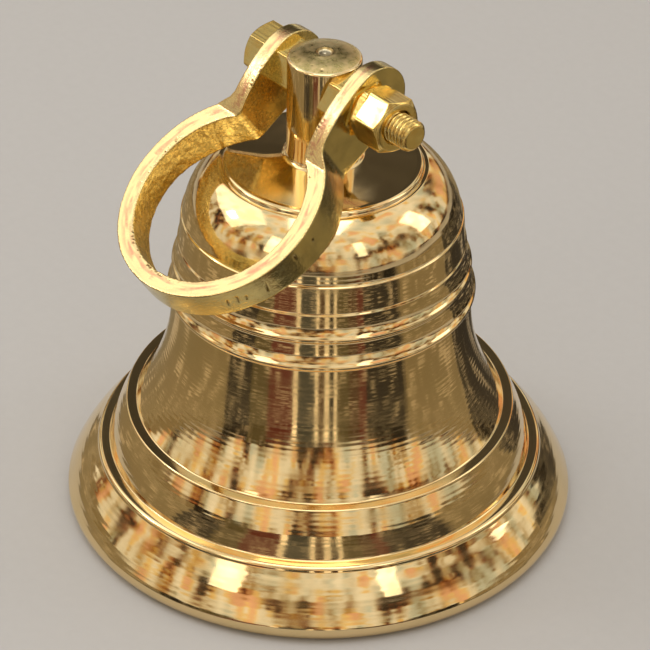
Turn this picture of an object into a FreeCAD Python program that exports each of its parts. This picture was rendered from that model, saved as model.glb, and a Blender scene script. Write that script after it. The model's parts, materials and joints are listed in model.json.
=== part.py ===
import FreeCAD, Part
import math
import os

# Temple bell: a cast and turned brass bell with a solid stem, a hanging shackle that swings on a
# cross bolt with two locked nuts, and a clapper hung inside on a link from a screwed-in eye.
#
# Millimetres, +Z up. The origin is the middle of the mouth, in the plane the lip stands on.
# The cross bolt lies along X, and the shackle lies swung down towards -Y.

V = FreeCAD.Vector
ORIGIN = V(0, 0, 0)
X_AXIS = V(1, 0, 0)
Y_AXIS = V(0, 1, 0)
Z_AXIS = V(0, 0, 1)

PARTS_FOLDER = "parts"
FIT = 0.05                     # radial clearance of a shaft or thread in its hole
QUARTER_RISE = 1 - math.cos(math.radians(45))    # rise of a quarter circle's middle, per radius

# ---- bell, outside: (radius, height) of each turned feature --------------------------------------
lip_radius = 65.5
lip_widest_height = 4.6
lip_foot_radius = 62.6         # the flat ring that the bell stands on ends here
lip_foot_rise = 1.3
lip_band_rise = 0.6
lower_ledge = (57.6, 17.4)     # outer corner of the ledge above the lip band
lower_ledge_foot = 54.5        # radius where the ledge starts, at the foot of what stands above it
lower_ledge_round = 1.2
band_rise = 0.45               # the middle band bulges a little
upper_ledge = (50.1, 29.6)     # outer corner of the ledge at the foot of the waist
upper_ledge_foot = 47.3
upper_ledge_round = 0.5
waist_top = (37.9, 63.1)
waist_hollow = 2.6
lower_rim = (39.0, 64.3)       # crest of the collar's lower rounded rim
upper_rim = (37.8, 71.7)
rim_half_height = 0.8
rim_rise = 0.5
tier_hollow = 0.6
collar_groove = (36.3, 78.2)   # fine line between the plain tier and the hollow ones
groove_step = 0.4
collar_top = (35.4, 85.7)      # the narrow ledge that the dome stands on
dome_foot = (34.8, 86.3)
dome_top = (26.1, 99.3)
dome_rise = 1.9
crown_edge = (25.0, 100.5)
edge_round = 0.8
crown_climb = 1.9              # from the crown's edge up to the foot of the stem
stem_radius = 9.2
stem_top = 129.6               # at its rim
stem_dome = 1.4
stem_fillet = 1.5
stem_chamfer = 0.3
centre_mark_radius = 2.3
centre_mark_depth = 0.8

# ---- bell, inside --------------------------------------------------------------------------------
mouth_radius = 59.4
mouth_round = 1.2
inner_bow = (49.9, 17.0)       # behind the lip band, where the clapper strikes
inner_bow_hollow = 1.0
inner_waist = (43.4, 30.5)
inner_waist_hollow = 0.4
inner_collar = (34.2, 63.0)
inner_collar_hollow = 1.7
inner_shoulder = (31.0, 86.5)
inner_shoulder_rise = 2.4
inner_crown = (22.0, 95.6)     # edge of the flat underside of the crown

# ---- cross bolt and its nuts (M8) ----------------------------------------------------------------
bolt_height = 122.1
bolt_radius = 4.0
bolt_length = 50.0             # under the head
bolt_end_chamfer = 0.9
hex_flats = 13.0
head_height = 6.2
jam_nut_height = 2.5
lock_nut_height = 7.5
head_turn = 17.0               # degrees that each hexagon is turned about the bolt
jam_nut_turn = 37.0
lock_nut_turn = 43.0
hex_chamfer_angle = 35.0
hex_face_share = 0.93          # diameter of a hexagon's round face, as a share of its flats

# ---- hanging shackle: (distance from the bolt's axis, height above it) when it is held level -----
shackle_drop = 33.5            # degrees below level, where the strap comes down on the crown
arm_inner = 12.0               # half of the opening between the ears
strap_thickness = 4.6
ear_gap = 0.3                  # between an ear and the bolt's head or the inner nut
loop_centre = 38.0
loop_radius = 28.0
loop_hole_centre = 38.4
loop_hole_radius = 23.1
ear_radius = 8.6
left_ear = (-0.9, -0.6)        # middle of each ear's round end: the casting is uneven, so the
right_ear = (-3.5, -0.3)       # ears stand differently about the hole
shoulder = (19.0, 2.2)         # where an arm's top edge runs into the loop's
shoulder_bulge = 1.5
belly = (27.0, -9.1)           # where the strap's lower edge meets the crown
loop_end_top = 2.3
loop_end_bottom = -7.4
loop_edge_hollow = 0.8
bend_outside = 4.0             # roundings where arm and loop meet
bend_inside = 2.5

# ---- clapper and what it hangs from --------------------------------------------------------------
eye_bar_height = 80.0          # axis of the eye's level bar, which the link swings on
eye_wire = 2.0                 # radius of the wire
eye_half_width = 6.5           # to the middle of the side wires
eye_corner = 3.0
eye_clear_height = 6.5         # inside the eye, above the bar
eye_shank_radius = 3.0
eye_shank_top = 109.0
eye_hole_spare = 0.6
eye_nut_flats = 10.0
eye_nut_height = 3.2
link_wire = 1.6
link_gap = 0.3                 # between the link's bend and the eye's bar
link_length = 14.0             # between the two axes
link_corner = 2.2
rod_eye_radius = 4.8
rod_eye_hole = 2.0
rod_eye_width = 3.6
rod_radius = 2.5
rod_bottom = 4.6
rod_collar_radius = 4.4
rod_collar_height = 2.0
ball_radius = 12.5
ball_height = 22.0             # of the ball's middle
ball_half_length = 11.9        # from the middle to the small flats at top and bottom
clapper_nut_flats = 8.0
clapper_nut_height = 3.0

# ---- worked out from the above -------------------------------------------------------------------
link_half_width = eye_wire + link_gap + link_wire
link_bar_height = eye_bar_height - link_length
ear_outside = arm_inner + strap_thickness
under_head_x = -(ear_outside + ear_gap)
jam_nut_x = ear_outside + ear_gap
dome_bow = stem_dome / 4       # a shallow arc from peak to rim bows this far off its chord
lock_nut_x = jam_nut_x + jam_nut_height
blank_half_height = ear_radius + strap_thickness


# ---- helpers -------------------------------------------------------------------------------------
def quarter(radius):
    """Rise of the middle of a quarter circle of this radius."""
    return QUARTER_RISE * radius


def outline_edges(start, steps, place):
    """Edges from start through the steps. A step is (a, b) for a straight line, or (a, b, rise)
    for an arc whose middle stands `rise` to the left of the way the outline runs."""
    edges = []
    here = start
    for step in steps:
        end = step[:2]
        if len(step) == 2:
            edges.append(Part.LineSegment(place(*here), place(*end)).toShape())
        else:
            run_a = end[0] - here[0]
            run_b = end[1] - here[1]
            share = step[2] / math.hypot(run_a, run_b)
            middle = ((here[0] + end[0]) / 2 - run_b * share, (here[1] + end[1]) / 2 + run_a * share)
            edges.append(Part.Arc(place(*here), place(*middle), place(*end)).toShape())
        here = end
    return edges


def radius_and_height(radius, height):
    return V(radius, 0, height)


def turned(start, steps):
    """A solid turned about Z from a closed outline of (radius, height) points."""
    edges = outline_edges(start, steps + [start], radius_and_height)
    return Part.Face(Part.Wire(edges)).revolve(ORIGIN, Z_AXIS, 360)


def bent_wire(start, steps, wire_radius, place):
    """A round wire bent round a closed path."""
    edges = outline_edges(start, steps + [start], place)
    way = edges[0].tangentAt(edges[0].FirstParameter)
    section = Part.Wire(Part.makeCircle(wire_radius, place(*start), way))
    return Part.Wire(edges).makePipeShell([section], True, False)


def hexagon(flats, height, bore_radius=0):
    """A hexagon head or nut along +Z from the origin, chamfered at its far end."""
    corner = flats / math.sqrt(3)
    points = [V(corner * math.cos(a), corner * math.sin(a), 0)
              for a in (math.radians(60 * i) for i in range(7))]
    prism = Part.Face(Part.makePolygon(points)).extrude(V(0, 0, height))
    face_radius = flats / 2 * hex_face_share
    depth = (corner - face_radius) * math.tan(math.radians(hex_chamfer_angle))
    chamfered = prism.common(turned((0, 0), [
        (corner, 0),
        (corner, height - depth),
        (face_radius, height),
        (0, height),
    ]))
    if bore_radius:
        return chamfered.cut(Part.makeCylinder(bore_radius, height))
    return chamfered


def flipped(shape):
    """Turns a shape built along +Z from the origin to run along -Z."""
    shape.rotate(ORIGIN, X_AXIS, 180)
    return shape


def on_bolt(shape, x_start, turn=0):
    """Lays a shape built along +Z on the bolt's axis, from x_start on, turned about that axis."""
    shape.rotate(ORIGIN, Y_AXIS, 90)
    shape.rotate(ORIGIN, X_AXIS, -turn)
    shape.translate(V(x_start, 0, bolt_height))
    return shape


def raised(shape, height):
    shape.translate(V(0, 0, height))
    return shape


# ---- bell ----------------------------------------------------------------------------------------
def stem_and_crown():
    crown_top = crown_edge[1] + crown_climb
    return [
        (stem_radius - stem_chamfer, stem_top, dome_bow),
        (stem_radius, stem_top - stem_chamfer),
        (stem_radius, crown_top + stem_fillet),
        (stem_radius + stem_fillet, crown_top, -quarter(stem_fillet)),
        (crown_edge[0] - edge_round, crown_edge[1]),
        (crown_edge[0], crown_edge[1] - edge_round, quarter(edge_round)),
        (crown_edge[0], dome_top[1]),
        dome_top,
    ]


def dome_and_collar():
    """The dome, its narrow ledge, a plain tier, and two hollow tiers that end in rounded rims."""
    steps = [
        (*dome_foot, dome_rise),
        (collar_top[0] - groove_step, collar_top[1]),
        (collar_top[0], collar_top[1] - groove_step, quarter(groove_step)),
        (collar_groove[0] - groove_step, collar_groove[1] + groove_step),
        (collar_groove[0], collar_groove[1]),
    ]
    for rim_radius, rim_height in (upper_rim, lower_rim):
        steps.append((rim_radius - rim_rise, rim_height + rim_half_height, -tier_hollow))
        steps.append((rim_radius - rim_rise, rim_height - rim_half_height, rim_rise))
    return steps


def waist_to_lip():
    return [
        waist_top,
        (upper_ledge_foot, upper_ledge[1], -waist_hollow),
        (upper_ledge[0] - upper_ledge_round, upper_ledge[1]),
        (upper_ledge[0], upper_ledge[1] - upper_ledge_round, quarter(upper_ledge_round)),
        (lower_ledge_foot, lower_ledge[1], band_rise),
        (lower_ledge[0] - lower_ledge_round, lower_ledge[1]),
        (lower_ledge[0], lower_ledge[1] - lower_ledge_round, quarter(lower_ledge_round)),
        (lip_radius, lip_widest_height, lip_band_rise),
        (lip_foot_radius, 0, lip_foot_rise),
    ]


def bell_inside():
    return [
        (mouth_radius + mouth_round, 0),
        (mouth_radius, mouth_round, quarter(mouth_round)),
        (*inner_bow, -inner_bow_hollow),
        (*inner_waist, -inner_waist_hollow),
        (*inner_collar, inner_collar_hollow),
        inner_shoulder,
        (*inner_crown, -inner_shoulder_rise),
        (0, inner_crown[1]),
    ]


def bell_body():
    """The bell, its crown and its stem in one casting, drilled for the bolt and the eye."""
    dome_peak = stem_top + stem_dome
    casting = turned((0, dome_peak),
                     stem_and_crown() + dome_and_collar() + waist_to_lip() + bell_inside())
    cross_hole = Part.makeCylinder(bolt_radius + FIT, 4 * stem_radius,
                                   V(-2 * stem_radius, 0, bolt_height), X_AXIS)
    eye_hole = Part.makeCylinder(eye_shank_radius + FIT,
                                 eye_shank_top + eye_hole_spare - inner_crown[1],
                                 V(0, 0, inner_crown[1]))
    centre_mark = Part.makeCone(centre_mark_radius, 0, centre_mark_depth,
                                V(0, 0, dome_peak), -Z_AXIS)
    return casting.cut(cross_hole).cut(eye_hole).cut(centre_mark)


# ---- cross bolt and nuts -------------------------------------------------------------------------
def shackle_bolt():
    shank = turned((0, -head_height / 2), [
        (bolt_radius, -head_height / 2),
        (bolt_radius, bolt_length - bolt_end_chamfer),
        (bolt_radius - bolt_end_chamfer, bolt_length),
        (0, bolt_length),
    ])
    head = on_bolt(flipped(hexagon(hex_flats, head_height)), under_head_x, head_turn)
    return head.fuse(on_bolt(shank, under_head_x)).removeSplitter()


def jam_nut():
    """The thin nut. Its flat side is outwards, tight against the lock nut's."""
    nut = hexagon(hex_flats, jam_nut_height, bolt_radius + FIT)
    return on_bolt(flipped(nut), lock_nut_x, jam_nut_turn)


def lock_nut():
    nut = hexagon(hex_flats, lock_nut_height, bolt_radius + FIT)
    return on_bolt(nut, lock_nut_x, lock_nut_turn)


# ---- shackle: built level, its loop towards -Y, with the hole's axis along X at the origin --------
def upright_slab(face):
    """The blank under a flat face in the X-Y plane, deeper than the strap is wide anywhere."""
    slab = face.extrude(V(0, 0, 2 * blank_half_height))
    slab.translate(V(0, 0, -blank_half_height))
    return slab


def round_slab(radius, distance):
    circle = Part.makeCircle(radius, V(0, -distance, 0))
    return upright_slab(Part.Face(Part.Wire(circle)))


def rectangle_slab(x_start, x_end, y_start, y_end):
    return upright_slab(Part.makePlane(x_end - x_start, y_end - y_start, V(x_start, y_start, 0)))


def shackle_plan():
    """The omega shape seen square on: a loop whose ends turn into two parallel arms."""
    plan = round_slab(loop_radius, loop_centre).cut(round_slab(loop_hole_radius, loop_hole_centre))
    plan = plan.cut(rectangle_slab(-arm_inner, arm_inner, -loop_centre, 0))
    arm_meets_loop = loop_centre - math.sqrt(loop_radius ** 2 - ear_outside ** 2)
    arm_start = arm_meets_loop + strap_thickness / 4
    for x_start, ear in ((-ear_outside, left_ear), (arm_inner, right_ear)):
        arm_end = ear_radius - ear[0]
        plan = plan.fuse(rectangle_slab(x_start, x_start + strap_thickness, -arm_start, arm_end))
    return plan.removeSplitter()


def half_side(ear, x_start):
    """The strap's width seen from the side, for the half from x_start on: even round the loop,
    widening into a round ear."""
    loop_end = loop_centre + loop_radius
    ear_top = (-ear[0], ear[1] + ear_radius)
    ear_bottom = (-ear[0], ear[1] - ear_radius)
    steps = [
        (-shoulder[0], shoulder[1], -shoulder_bulge),
        (-loop_end, loop_end_top, loop_edge_hollow),
        (-loop_end, loop_end_bottom),
        (-belly[0], belly[1], loop_edge_hollow),
        ear_bottom,
        (*ear_top, -ear_radius),
    ]

    def on_start(y, z):
        return V(x_start, y, z)

    face = Part.Face(Part.Wire(outline_edges(ear_top, steps, on_start)))
    return face.extrude(V(loop_radius, 0, 0))


def soften_bends(strap):
    """Rounds the four upright corners where the arms open into the loop."""
    for x_bend, radius in ((ear_outside, bend_outside), (arm_inner, bend_inside)):
        corners = [edge for edge in strap.Edges
                   if abs(edge.BoundBox.XLength) + abs(edge.BoundBox.YLength) < FIT
                   and abs(abs(edge.CenterOfMass.x) - x_bend) < FIT
                   and -loop_centre < edge.CenterOfMass.y < 0]
        strap = strap.makeFillet(radius, corners)
    return strap


def shackle():
    side = half_side(left_ear, -loop_radius).fuse(half_side(right_ear, 0))
    strap = soften_bends(shackle_plan()).common(side).removeSplitter()
    hole = Part.makeCylinder(bolt_radius + FIT, 4 * arm_inner, V(-2 * arm_inner, 0, 0), X_AXIS)
    strap = strap.cut(hole)
    strap.rotate(ORIGIN, X_AXIS, shackle_drop)
    return raised(strap, bolt_height)


# ---- clapper and what it hangs from --------------------------------------------------------------
def crown_eye():
    """A round-wire eye with a level bar at the bottom, on a threaded shank."""
    loop_top = eye_bar_height + 2 * eye_wire + eye_clear_height
    arch_height = loop_top - eye_half_width
    loop = bent_wire((0, eye_bar_height), [
        (eye_half_width - eye_corner, eye_bar_height),
        (eye_half_width, eye_bar_height + eye_corner, -quarter(eye_corner)),
        (eye_half_width, arch_height),
        (-eye_half_width, arch_height, -eye_half_width),
        (-eye_half_width, eye_bar_height + eye_corner),
        (-eye_half_width + eye_corner, eye_bar_height, -quarter(eye_corner)),
    ], eye_wire, radius_and_height)
    shank = Part.makeCylinder(eye_shank_radius, eye_shank_top - loop_top, V(0, 0, loop_top))
    return loop.fuse(shank)


def eye_nut():
    nut = hexagon(eye_nut_flats, eye_nut_height, eye_shank_radius + FIT)
    return raised(flipped(nut), inner_crown[1])


def hanger_link():
    """A closed link across the eye: round over the eye's bar, with a level bar below."""
    def across(y, z):
        return V(0, y, z)

    return bent_wire((0, link_bar_height), [
        (link_half_width - link_corner, link_bar_height),
        (link_half_width, link_bar_height + link_corner, -quarter(link_corner)),
        (link_half_width, eye_bar_height),
        (-link_half_width, eye_bar_height, -link_half_width),
        (-link_half_width, link_bar_height + link_corner),
        (-link_half_width + link_corner, link_bar_height, -quarter(link_corner)),
    ], link_wire, across)


def clapper_rod():
    """Forged eye, rod, and the collar that the ball is pulled up against."""
    eye = Part.makeCylinder(rod_eye_radius, rod_eye_width,
                            V(0, -rod_eye_width / 2, link_bar_height), Y_AXIS)
    rod_top = link_bar_height - rod_eye_hole - rod_radius / 2
    collar_bottom = ball_height + ball_half_length
    rod = turned((0, rod_bottom), [
        (rod_radius, rod_bottom),
        (rod_radius, collar_bottom),
        (rod_collar_radius, collar_bottom),
        (rod_collar_radius, collar_bottom + rod_collar_height),
        (rod_radius, collar_bottom + rod_collar_height),
        (rod_radius, rod_top),
        (0, rod_top),
    ])
    hole = Part.makeCylinder(rod_eye_hole, rod_eye_width,
                             V(0, -rod_eye_width / 2, link_bar_height), Y_AXIS)
    return eye.fuse(rod).cut(hole)


def clapper_ball():
    flat_radius = math.sqrt(ball_radius ** 2 - ball_half_length ** 2)
    bore = rod_radius + FIT
    ball = turned((bore, -ball_half_length), [
        (flat_radius, -ball_half_length),
        (flat_radius, ball_half_length, -(ball_radius - flat_radius)),
        (bore, ball_half_length),
    ])
    return raised(ball, ball_height)


def clapper_nut():
    nut = hexagon(clapper_nut_flats, clapper_nut_height, rod_radius + FIT)
    return raised(flipped(nut), ball_height - ball_half_length)


# ---- one file per piece --------------------------------------------------------------------------
os.makedirs(PARTS_FOLDER, exist_ok=True)
for make in (bell_body, shackle, shackle_bolt, jam_nut, lock_nut, crown_eye, eye_nut, hanger_link,
             clapper_rod, clapper_ball, clapper_nut):
    piece = make()
    piece.exportStep(os.path.join(PARTS_FOLDER, make.__name__ + ".step"))
    print(make.__name__, piece.isValid(), len(piece.Solids), round(piece.Volume))
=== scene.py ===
import json
import math

import bpy
import numpy as np
from mathutils import Matrix, Vector, noise


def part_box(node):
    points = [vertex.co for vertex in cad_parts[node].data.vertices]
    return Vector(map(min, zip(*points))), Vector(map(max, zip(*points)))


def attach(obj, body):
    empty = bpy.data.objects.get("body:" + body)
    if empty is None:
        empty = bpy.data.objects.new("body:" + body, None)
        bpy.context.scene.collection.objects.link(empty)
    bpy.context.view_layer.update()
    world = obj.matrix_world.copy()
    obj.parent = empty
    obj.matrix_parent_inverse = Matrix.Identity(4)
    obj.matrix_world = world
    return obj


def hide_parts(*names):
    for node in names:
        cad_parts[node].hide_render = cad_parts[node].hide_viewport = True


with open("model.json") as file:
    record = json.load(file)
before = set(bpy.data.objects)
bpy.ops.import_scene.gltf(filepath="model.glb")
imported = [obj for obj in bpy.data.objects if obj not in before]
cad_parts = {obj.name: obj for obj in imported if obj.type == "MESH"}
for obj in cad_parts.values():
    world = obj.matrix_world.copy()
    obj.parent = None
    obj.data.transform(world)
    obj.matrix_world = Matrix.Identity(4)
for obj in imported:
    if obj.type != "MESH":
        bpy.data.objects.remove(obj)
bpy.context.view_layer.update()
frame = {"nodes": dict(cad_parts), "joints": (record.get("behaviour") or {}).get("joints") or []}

# A brass temple bell: polished bell and stem, cast shackle on a threaded cross bolt, and the
# clapper inside. Shapes are worked out in millimetres in the part's own frame, then written in
# metres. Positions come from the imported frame; the turned outlines repeat the design's sizes.

MM = 0.001
JOINTS = {joint["name"]: joint for joint in frame["joints"]}


# ---- places from the frame -----------------------------------------------------------------------
def joint_place(name):
    return Vector(JOINTS[name]["pos_m"]) / MM


def box_mm(node):
    low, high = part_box(node)
    return low / MM, high / MM


BOLT_AXIS = joint_place("shackle_swing")
LINK_AXIS = joint_place("clapper_sway")
X_AXIS = Vector((1, 0, 0))
Y_AXIS = Vector((0, 1, 0))
Z_AXIS = Vector((0, 0, 1))


# ---- outlines: points along straight runs and arcs ------------------------------------------------
ARC_STEP = math.radians(5)
CORNER_SPACING = 0.1           # of the fine points that a corner is softened on
LONGEST_RUN = 2.5
SHARPEST_TURN = math.radians(4)


def arc_points(start, end, rise):
    """Points after start on the arc to end whose middle stands `rise` to the left of the way."""
    chord = end - start
    half = chord.length / 2
    left = Vector((-chord.y, chord.x)).normalized()
    radius = (half * half + rise * rise) / (2 * abs(rise))
    centre = (start + end) / 2 + left * (rise - math.copysign(radius, rise))
    sweep = 2 * math.atan2(half, radius - abs(rise)) * -math.copysign(1, rise)
    count = max(3, math.ceil(abs(sweep) / ARC_STEP))
    spoke = start - centre
    return [centre + Matrix.Rotation(sweep * i / count, 2) @ spoke for i in range(1, count + 1)]


def outline(start, steps):
    """A step is (a, b) for a straight run or (a, b, rise) for an arc."""
    points = [Vector(start)]
    for step in steps:
        end = Vector(step[:2])
        if len(step) == 2:
            points.append(end)
        else:
            points += arc_points(points[-1], end, step[2])
    return points


def softened(points, passes):
    """The outline with its corners rounded a little, as polishing does, and few points left."""
    fine = [points[0]]
    for here, there in zip(points, points[1:]):
        count = max(1, round((there - here).length / CORNER_SPACING))
        fine += [here.lerp(there, i / count) for i in range(1, count + 1)]
    line = np.array([tuple(p) for p in fine])
    for _ in range(passes):
        line[1:-1] = line[:-2] / 4 + line[1:-1] / 2 + line[2:] / 4
    way = np.arctan2(*np.diff(line, axis=0).T[::-1])
    kept = [0]
    for i in range(1, len(line) - 1):
        turn = abs(math.remainder(way[i] - way[kept[-1]], math.tau))
        run = math.dist(line[i], line[kept[-1]])
        if turn > SHARPEST_TURN or run > LONGEST_RUN:
            kept.append(i)
    kept.append(len(line) - 1)
    return [Vector(line[i]) for i in kept]


def quarter(radius):
    """Rise of the middle of a quarter circle of this radius."""
    return radius * (1 - math.cos(math.pi / 4))


# ---- meshes --------------------------------------------------------------------------------------
SHARP_EDGE = math.radians(38)
ON_AXIS = 1e-6                 # a smaller radius than this is a point on the axis


def show(name, vertices, faces):
    """A smooth-shaded object from vertices in millimetres."""
    mesh = bpy.data.meshes.new(name)
    mesh.from_pydata([Vector(v) * MM for v in vertices], [], faces)
    mesh.validate()
    shade(mesh)
    piece = bpy.data.objects.new(name, mesh)
    bpy.context.scene.collection.objects.link(piece)
    return piece


def shade(mesh):
    """Smooth shading, with the edges that are sharp left sharp."""
    mesh.shade_smooth()
    mesh.set_sharp_from_angle(angle=SHARP_EDGE)


def turned(name, points, segments, along=Z_AXIS, centre=Vector(), shape=None, closed=False):
    """A body turned about `along` through centre from (radius, distance) points. shape(radius,
    distance, angle) may change a point's radius. An open outline starts and ends on the axis."""
    side = Y_AXIS if along == X_AXIS else X_AXIS
    other = along.cross(side)
    vertices, rings = [], []
    for radius, distance in points:
        if radius < ON_AXIS:
            rings.append([len(vertices)] * segments)
            vertices.append(centre + along * distance)
            continue
        rings.append(list(range(len(vertices), len(vertices) + segments)))
        for i in range(segments):
            angle = math.tau * i / segments
            r = shape(radius, distance, angle) if shape else radius
            spoke = side * math.cos(angle) + other * math.sin(angle)
            vertices.append(centre + along * distance + spoke * r)
    pairs = list(zip(rings, rings[1:])) + ([(rings[-1], rings[0])] if closed else [])
    faces = []
    for lower, upper in pairs:
        for i in range(segments):
            j = (i + 1) % segments
            face = list(dict.fromkeys((lower[i], upper[i], upper[j], lower[j])))
            if len(face) > 2:
                faces.append(face)
    piece = show(name, vertices, faces)
    face_outwards(piece)
    return piece


def face_outwards(piece):
    """Turns every face's winding so that the closed mesh has a positive volume."""
    mesh = piece.data
    mesh.calc_loop_triangles()
    points = np.array([v.co for v in mesh.vertices])
    corners = points[[t.vertices[:] for t in mesh.loop_triangles]]
    volume = np.einsum("ij,ij->i", corners[:, 0], np.cross(corners[:, 1], corners[:, 2])).sum()
    if volume < 0:
        mesh.flip_normals()


def apply_modifiers(piece):
    """Replaces a piece's mesh with what its modifiers make of it."""
    depsgraph = bpy.context.evaluated_depsgraph_get()
    mesh = bpy.data.meshes.new_from_object(piece.evaluated_get(depsgraph))
    piece.modifiers.clear()
    piece.data = mesh
    shade(mesh)


def combine(piece, other, operation):
    """Takes the other shape away from the piece (DIFFERENCE) or joins it on (UNION)."""
    tool = piece.modifiers.new("combine", "BOOLEAN")
    tool.operation = operation
    tool.solver = "EXACT"
    tool.object = other
    apply_modifiers(piece)
    bpy.data.objects.remove(other)


def finish_piece(piece, node, body, slot, *materials):
    """Stands the piece in for its CAD node, on that node's body. The slot argument is not used."""
    for material in materials:
        piece.data.materials.append(material)
    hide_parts(node)
    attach(piece, body)


# ---- node materials ------------------------------------------------------------------------------
MIX_SHARE, MIX_FIRST, MIX_SECOND, MIX_RESULT = 0, 6, 7, 2    # a colour Mix node's sockets


class Chain:
    """Shader nodes, each fed by those before it. Each call adds one node and returns an output."""

    def __init__(self, tree):
        self.tree = tree

    def node(self, kind, inputs, output=0, **settings):
        made = self.tree.nodes.new(kind)
        for key, value in settings.items():
            setattr(made, key, value)
        for key, value in inputs.items():
            self.plug(made.inputs[key], value)
        return made.outputs[output]

    def plug(self, socket, value):
        if isinstance(value, bpy.types.NodeSocket):
            self.tree.links.new(value, socket)
        else:
            socket.default_value = value

    def math(self, operation, *values, clamp=False):
        inputs = dict(enumerate(values))
        return self.node("ShaderNodeMath", inputs, operation=operation, use_clamp=clamp)

    def mix_colour(self, share, first, second, blend="MIX"):
        inputs = {MIX_SHARE: share, MIX_FIRST: first, MIX_SECOND: second}
        return self.node("ShaderNodeMix", inputs, MIX_RESULT, data_type="RGBA", blend_type=blend)

    def colour_ramp(self, value, stops):
        """Colours between (position, colour) stops, which are in order of position."""
        colours = self.node("ShaderNodeValToRGB", {"Fac": value}, output="Color")
        elements = colours.node.color_ramp.elements
        first, *between, last = stops
        elements[0].position, elements[0].color = first
        elements[1].position, elements[1].color = last
        for position, colour in between:
            elements.new(position).color = colour
        return colours


class Recipe(Chain):
    """A material, as a chain that starts from the place on the piece."""

    def __init__(self, name):
        self.material = bpy.data.materials.new(name)
        self.material.use_nodes = True
        super().__init__(self.material.node_tree)
        self.shader = self.tree.nodes["Principled BSDF"]
        self.place = self.node("ShaderNodeTexCoord", {}, output="Object")

    def stretched(self, scale):
        return self.node("ShaderNodeMapping", {"Vector": self.place, "Scale": scale})

    def noise(self, size_mm, detail=4, vector=None, roughness=0.55):
        """Soft random patches of about this size, from 0 to 1."""
        return self.node("ShaderNodeTexNoise", {
            "Vector": vector or self.place,
            "Scale": 1 / (size_mm * MM),
            "Detail": detail,
            "Roughness": roughness,
        })

    def ramp(self, value, low, high, from_low=0.0, from_high=1.0):
        """value rescaled from one range to another, held at the ends."""
        return self.node("ShaderNodeMapRange", {
            "Value": value,
            "From Min": from_low,
            "From Max": from_high,
            "To Min": low,
            "To Max": high,
        })

    def attribute(self, name):
        return self.node("ShaderNodeAttribute", {}, output="Fac", attribute_name=name)

    def bump(self, height, depth_mm, under=None):
        """Relief of this depth, on top of the relief under it."""
        inputs = {"Height": height, "Distance": depth_mm * MM, "Strength": 1.0}
        if under:
            inputs["Normal"] = under
        return self.node("ShaderNodeBump", inputs)

    def metal(self, colour, roughness, normal):
        self.plug(self.shader.inputs["Base Color"], colour)
        self.plug(self.shader.inputs["Roughness"], roughness)
        self.plug(self.shader.inputs["Normal"], normal)
        self.shader.inputs["Metallic"].default_value = 1.0
        return self.material


def rgb(red, green, blue):
    return (red, green, blue, 1.0)


PALE_BRASS = rgb(0.88, 0.67, 0.36)
GREEN_BRASS = rgb(0.78, 0.61, 0.31)
YELLOW_BRASS = rgb(0.84, 0.67, 0.26)
ORANGE_BRASS = rgb(0.88, 0.61, 0.18)
OLIVE_BRASS = rgb(0.56, 0.46, 0.19)
CREAM_BRASS = rgb(0.78, 0.61, 0.30)
# Worn brass, also used for a painted highlight on the stem top's centre mark.
WORN_BRASS_AND_HIGHLIGHT = rgb(0.93, 0.84, 0.62)
ROSE_TARNISH = rgb(0.58, 0.30, 0.18)
# Dark brown: painted shade round the stem top's centre mark, painted shade and dirt in the thread's
# valleys, and the colour of the shackle's nicks and pits.
DARK_BROWN = rgb(0.16, 0.09, 0.03)
DARK_STEEL = rgb(0.34, 0.33, 0.31)
LIGHT_STEEL = rgb(0.58, 0.57, 0.55)

RIPPLE_PITCH = 1.3             # of the turning tool's ripples, which fade out below the crown
RIPPLES_FADE = 85
RIPPLES_END = 98
TURNING_PITCH = 0.35           # of the fine rings on the faces of the bolt and nuts


def polished_brass():
    """Mirror-polished on the lathe: ripples and faint rings round the bell, haze, soft spots."""
    r = Recipe("polished_brass")
    rings = r.noise(1, 3, r.stretched((0.012, 0.012, 0.9)))
    fine_rings = r.noise(1, 2, r.stretched((0.03, 0.03, 4.0)))
    haze = r.noise(14, 5)
    height = r.node("ShaderNodeSeparateXYZ", {"Vector": r.place}, output="Z")
    uneven = r.math("MULTIPLY", r.noise(7, 2), 2.0)
    turns = r.math("MULTIPLY_ADD", height, math.tau / (RIPPLE_PITCH * MM), uneven)
    below_crown = r.ramp(height, 1, 0, RIPPLES_FADE * MM, RIPPLES_END * MM)
    patchy = r.math("MULTIPLY", r.ramp(r.noise(11, 2), 0.2, 1, 0.35, 0.65), below_crown)
    ripples = r.math("MULTIPLY", r.math("SINE", turns), patchy)
    colour = r.mix_colour(r.ramp(haze, 0, 0.7, 0.4, 0.7), PALE_BRASS, GREEN_BRASS)
    smear = r.math("MULTIPLY", rings, haze)
    roughness = r.ramp(smear, 0.06, 0.17, 0.15, 0.45)
    waves = r.bump(r.noise(9, 2), 0.03)
    rippled = r.bump(ripples, 0.006, under=waves)
    normal = r.bump(fine_rings, 0.001, under=r.bump(rings, 0.006, under=rippled))
    return r.metal(colour, roughness, normal)


def cast_inside():
    """The inside of the bell, left from the mould and the boring bar: dull, grainy and darker."""
    r = Recipe("cast_inside")
    grain = r.noise(0.8, 6)
    blotch = r.noise(12, 4)
    rings = r.noise(1, 2, r.stretched((0.02, 0.02, 1.2)))
    colour = r.mix_colour(r.ramp(blotch, 0, 1, 0.35, 0.7), YELLOW_BRASS, OLIVE_BRASS)
    roughness = r.ramp(grain, 0.3, 0.55, 0.3, 0.7)
    normal = r.bump(grain, 0.06, under=r.bump(rings, 0.05))
    return r.metal(colour, roughness, normal)


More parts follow.
